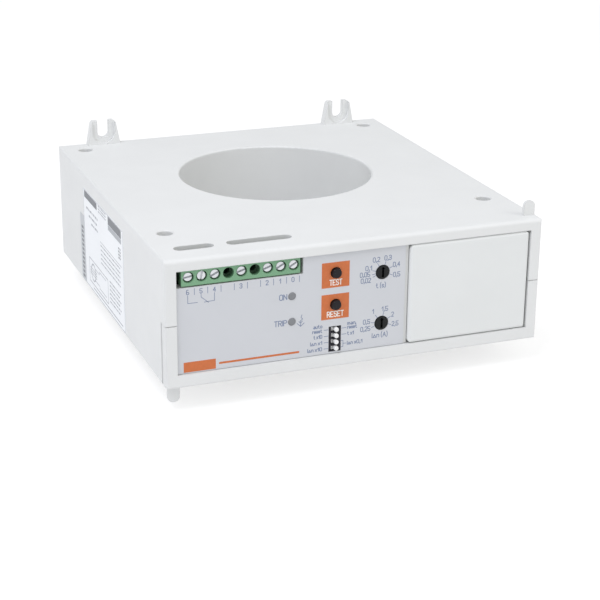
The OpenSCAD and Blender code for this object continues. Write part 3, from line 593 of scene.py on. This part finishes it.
# Lines from the switch's rows to the words, and the bracket round the lower two rows
LEFT_LINE, RIGHT_LINE = (-4.4, -2.7), (2.8, 4.6)
BRACKET_START, BRACKET_BACK = 2.6, 3.4
for z in ROWS:
    legends.strokes([[(SWITCH_X + x, z) for x in LEFT_LINE]], THIN)
for z in ROWS[:2]:
    legends.strokes([[(SWITCH_X + x, z) for x in RIGHT_LINE]], THIN)
start_x, back_x, link_z = SWITCH_X + BRACKET_START, SWITCH_X + BRACKET_BACK, ROWS[2] + BRACKET_DROP
bracket = [(start_x, ROWS[2]), (back_x, ROWS[2]), (back_x, ROWS[3]), (start_x, ROWS[3])]
legends.strokes([bracket, [(back_x, link_z), (SWITCH_X + RIGHT_LINE[1], link_z)]], THIN)
legends.finish("printed_legends", ink("print_blue", linear(126, 138, 164)), PRINT_T, FRONT)

# Orange fields round the buttons with their words, and the plain orange block and stripe below
FIELD_L, FIELD_R, FIELD_DOWN, FIELD_UP = 5.7, 5.5, 5.8, 4.2
FIELD_CORNER_R, BUTTON_HOLE_R = 0.15, 2.2
BUTTON_WORD_H, BUTTON_WORD_DROP = 2.4, -3.8
BUTTON_WORDS = (("test_button", "TEST", 5.2), ("reset_button", "RESET", 6.9))
BLOCK, STRIPE, STRIPE_R = (7.0, 5.5, 19.4, 9.5), (20.6, 7.1, 52.4, 7.9), 0.4
orange = Print(on_film(0.0))
white = Print(on_film(PRINT_T))
for button, words, width in BUTTON_WORDS:
    x, _, z = place_of(button)
    field = rectangle(x - FIELD_L, z - FIELD_DOWN, x + FIELD_R, z + FIELD_UP, FIELD_CORNER_R)
    orange.shape(field, [circle(x, z, BUTTON_HOLE_R)])
    white.text(words, x, z + BUTTON_WORD_DROP, BUTTON_WORD_H, width, weight=BOLD)
orange.shape(rectangle(*BLOCK, FIELD_CORNER_R))
orange.shape(rectangle(*STRIPE, STRIPE_R))
orange.finish("printed_orange", ink("print_orange", linear(206, 111, 58), rough=0.45), PRINT_T, FRONT)
white.finish("printed_white", ink("print_white", linear(244, 241, 236)), PRINT_T, FRONT)


# Side label

# Limits of the label on the left side and of the strip next to it: y and z from, y and z to
SHEET, SHEET_R = (56.4, 0.8, 120.1, 43.6), 0.8
STRIP, STRIP_R = (120.4, 0.8, 127.2, 30.6), 0.4


def label_plastic(name, colour):
    return plastic(name, colour, rough=0.5, grain=0.05, grain_scale=4000)


sheet = Print(on_side(0.0))
sheet.shape(rectangle(*SHEET, SHEET_R))
sheet.finish("side_label", label_plastic("label_paper", linear(249, 251, 253)), LABEL_T, LEFT)
strip = Print(on_side(0.0))
strip.shape(rectangle(*STRIP, STRIP_R))
strip.finish("side_strip", label_plastic("strip_grey", linear(201, 204, 207)), LABEL_T, LEFT)

# Dark print: two plain fields, a few short marks, and the row of marks along the strip
DARK_FIELDS = ((97.2, 39.9, 118.2, 42.9), (59.2, 39.5, 79.2, 43.0))
DARK_FIELD_R = 0.3
SHORT_MARKS = dict(count=4, start=63.6, end=60.4, top=34.6, pitch=1.3, height=0.75, lengths=(1.5, 1.0))
STRIP_MARK, STRIP_MARK_COUNT, STRIP_MARK_PITCH = (121.9, 2.2, 125.2, 3.4), 12, 2.0
dark = Print(on_side(LABEL_T))
for field in DARK_FIELDS:
    dark.shape(rectangle(*field, DARK_FIELD_R))
dark.rows(**SHORT_MARKS)
for i in range(STRIP_MARK_COUNT):
    y0, z0, y1, z1 = STRIP_MARK
    rise = STRIP_MARK_PITCH * i
    dark.shape(rectangle(y0, z0 + rise, y1, z1 + rise))
dark.finish("side_label_fields", ink("print_dark", linear(126, 129, 134)), PRINT_T, LEFT)

# Pale print and painted shadow: a line along the sheet's edge that paints its shadow, the lighter field, two
# rules and the rows of small words
EDGE_SHADOW_MARGIN, EDGE_SHADOW_WIDTH, EDGE_SHADOW_R, EDGE_SHADOW_INNER_R = 0.15, 0.3, 0.7, 0.4
PALE_FIELD = (59.2, 37.2, 79.2, 39.3)
UPPER_RULE, UPPER_RULE_WIDTH = [(93.0, 27.8), (59.6, 27.8)], 0.3
LOWER_RULE, LOWER_RULE_WIDTH = [(60.0, 2.7), (107.0, 2.7)], 0.5
LENGTHS = (2.6, 1.4, 3.4, 1.0, 2.0)
WORD_ROWS = (
    dict(count=3, start=95.0, end=82.0, top=42.6, pitch=1.2, height=0.55),
    dict(count=3, start=115.5, end=96.0, top=36.0, pitch=2.6, height=0.9, start_step=4),
    dict(count=5, start=92.6, end=61.0, top=26.4, pitch=1.9, height=0.6),
    dict(count=6, start=79.4, end=61.0, top=15.2, pitch=1.75, height=0.6, end_step=2),
)
pale = Print(on_side(LABEL_T))
pale.shape(rectangle(*PALE_FIELD))
# Painted shadow of the raised sheet's edge, as a thin grey line just inside it
edge_shadow = inset(SHEET, EDGE_SHADOW_MARGIN)
pale.shape(rectangle(*edge_shadow, EDGE_SHADOW_R), [rectangle(*inset(edge_shadow, EDGE_SHADOW_WIDTH), EDGE_SHADOW_INNER_R)])
pale.strokes([UPPER_RULE], UPPER_RULE_WIDTH)
pale.strokes([LOWER_RULE], LOWER_RULE_WIDTH)
for block in WORD_ROWS:
    pale.rows(lengths=LENGTHS, **block)

# Drawing on the label: a ring in a frame, three cables through it and its two leads
DRAWN = 0.35
DRAWING, DRAWING_LINE, DRAWING_R = (82.1, 4.1, 113.4, 14.9), 0.4, 0.3
RING_Y, RING_Z, RING_R, RING_HOLE_R = 106.4, 9.6, 4.0, 3.3
CABLES_Z, CABLE_REACH = (-1.2, 0, 1.2), 5.4
LEAD_START_Y, LEAD_BEND_Y, LEAD_END_Y = RING_Y - 3.4, RING_Y - 10, 85.5
LEAD_NEAR_Z, LEAD_FAR_Z = 2.6, 3.6
pale.shape(rectangle(*DRAWING, DRAWING_R), [rectangle(*inset(DRAWING, DRAWING_LINE), DRAWING_R)])
pale.shape(circle(RING_Y, RING_Z, RING_R), [circle(RING_Y, RING_Z, RING_HOLE_R)])
for z in CABLES_Z:
    pale.strokes([[(RING_Y + CABLE_REACH, RING_Z + z), (RING_Y - CABLE_REACH, RING_Z + z)]], DRAWN)
for side in (-1, 1):
    near, far = RING_Z + side * LEAD_NEAR_Z, RING_Z + side * LEAD_FAR_Z
    lead = [(LEAD_START_Y, near), (LEAD_BEND_Y, near), (LEAD_BEND_Y, far), (LEAD_END_Y, far)]
    pale.strokes([lead], DRAWN)
pale.finish("side_label_print_and_edge_shadow", ink("print_pale_and_edge_shadow", linear(178, 181, 186)), PRINT_T, LEFT)


# Floor, light and camera

FLOOR_Z = cad_box[0].z
FLOOR_HALF = 6.0
# The floor's colour for the light it sends back, and its colour and glow where it is seen
FLOOR_BOUNCE = (0.86, 0.86, 0.86, 1)
FLOOR_SEEN = (0.42, 0.42, 0.42, 1)
FLOOR_GLOW = 0.68
WORLD_COLOUR = (0.98, 0.99, 1.0, 1)
WORLD_STRENGTH = 0.66
# Lamps that face the bore's centre, in metres and watts
LAMPS = {
    "key": dict(place=(-0.50, -0.34, 0.94), size=0.6, power=5.5, colour=(0.90, 0.915, 1.0)),
    "fill": dict(place=(0.62, -0.62, 0.62), size=0.6, power=1.85, colour=(1.0, 0.972, 0.91)),
}
# The photograph's own view, fitted to the case's corners, terminals and switches
AZIMUTH, ELEVATION, ROLL = -0.36871, 0.36251, 0.00926
CAMERA_PLACE = (-150.318, -523.842, 241.755)
FOCAL_PX, IMAGE_PX, SENSOR = 1619.63, 600, 36
CLIP_NEAR, CLIP_FAR = 0.01, 50


def seen_by(tree, *rays):
    """A socket that is 1 for the named kinds of ray and 0 for the others."""
    path = tree.nodes.new("ShaderNodeLightPath")
    result = path.outputs[rays[0]]
    for ray in rays[1:]:
        node = tree.nodes.new("ShaderNodeMath")
        node.operation = "MAXIMUM"
        tree.links.new(result, node.inputs[0])
        tree.links.new(path.outputs[ray], node.inputs[1])
        result = node.outputs[0]
    return result


def choose(tree, seen, plain, shown, out):
    """Links shown to the output where seen is 1, and plain elsewhere."""
    mix = tree.nodes.new("ShaderNodeMixShader")
    tree.links.new(seen, mix.inputs[0])
    tree.links.new(plain, mix.inputs[1])
    tree.links.new(shown, mix.inputs[2])
    tree.links.new(mix.outputs[0], out.inputs["Surface"])


def floor_material():
    """White where it is looked at or mirrored, and plain where it lights the part."""
    mat = bpy.data.materials.new("floor_white")
    mat.use_nodes = True
    tree = mat.node_tree
    tree.nodes.clear()
    bounce = tree.nodes.new("ShaderNodeBsdfDiffuse")
    bounce.inputs["Color"].default_value = FLOOR_BOUNCE
    soft = tree.nodes.new("ShaderNodeBsdfDiffuse")
    soft.inputs["Color"].default_value = FLOOR_SEEN
    glow = tree.nodes.new("ShaderNodeEmission")
    glow.inputs["Strength"].default_value = FLOOR_GLOW
    both = tree.nodes.new("ShaderNodeAddShader")
    tree.links.new(soft.outputs[0], both.inputs[0])
    tree.links.new(glow.outputs[0], both.inputs[1])
    seen = seen_by(tree, "Is Camera Ray", "Is Glossy Ray", "Is Transmission Ray")
    choose(tree, seen, bounce.outputs[0], both.outputs[0], tree.nodes.new("ShaderNodeOutputMaterial"))
    return mat


def make_floor():
    mesh = bpy.data.meshes.new("floor")
    corners = [(x * FLOOR_HALF, y * FLOOR_HALF, FLOOR_Z) for x, y in ((-1, -1), (1, -1), (1, 1), (-1, 1))]
    mesh.from_pydata(corners, [], [(0, 1, 2, 3)])
    mesh.materials.append(floor_material())
    floor = bpy.data.objects.new("floor", mesh)
    bpy.context.scene.collection.objects.link(floor)


def make_world():
    """Even soft light all round, with a white background where it is looked at."""
    world = bpy.data.worlds.new("studio")
    bpy.context.scene.world = world
    world.use_nodes = True
    tree = world.node_tree
    tree.nodes.clear()
    light = tree.nodes.new("ShaderNodeBackground")
    light.inputs["Color"].default_value = WORLD_COLOUR
    light.inputs["Strength"].default_value = WORLD_STRENGTH
    white_ground = tree.nodes.new("ShaderNodeBackground")
    white_ground.inputs["Color"].default_value = (1, 1, 1, 1)
    seen = seen_by(tree, "Is Camera Ray", "Is Transmission Ray")
    choose(tree, seen, light.outputs[0], white_ground.outputs[0], tree.nodes.new("ShaderNodeOutputWorld"))


def make_lamp(name, place, size, power, colour):
    data = bpy.data.lights.new(name, "AREA")
    data.shape = "DISK"
    data.size = size
    data.energy = power
    data.color = colour
    lamp = bpy.data.objects.new(name, data)
    lamp.location = place
    lamp.rotation_mode = "QUATERNION"
    lamp.rotation_quaternion = (-Vector(place)).to_track_quat("-Z", "Y")
    bpy.context.scene.collection.objects.link(lamp)


def make_camera():
    level = Vector((math.cos(AZIMUTH), math.sin(AZIMUTH), 0))
    outward = Vector((math.sin(AZIMUTH), -math.cos(AZIMUTH), 0))
    back = outward * math.cos(ELEVATION) + Vector((0, 0, math.sin(ELEVATION)))
    upright = back.cross(level)
    right = level * math.cos(ROLL) + upright * math.sin(ROLL)
    up = upright * math.cos(ROLL) - level * math.sin(ROLL)
    data = bpy.data.cameras.new("camera")
    data.sensor_width = SENSOR
    data.lens = FOCAL_PX / IMAGE_PX * SENSOR
    data.clip_start, data.clip_end = CLIP_NEAR, CLIP_FAR
    camera = bpy.data.objects.new("camera", data)
    turn = Matrix((right, up, back)).transposed().to_4x4()
    camera.matrix_world = Matrix.Translation(at(*CAMERA_PLACE)) @ turn
    bpy.context.scene.collection.objects.link(camera)
    bpy.context.scene.camera = camera


make_floor()
make_world()
for name, values in LAMPS.items():
    make_lamp(name, **values)
make_camera()
bpy.context.scene.view_settings.view_transform = "Standard"
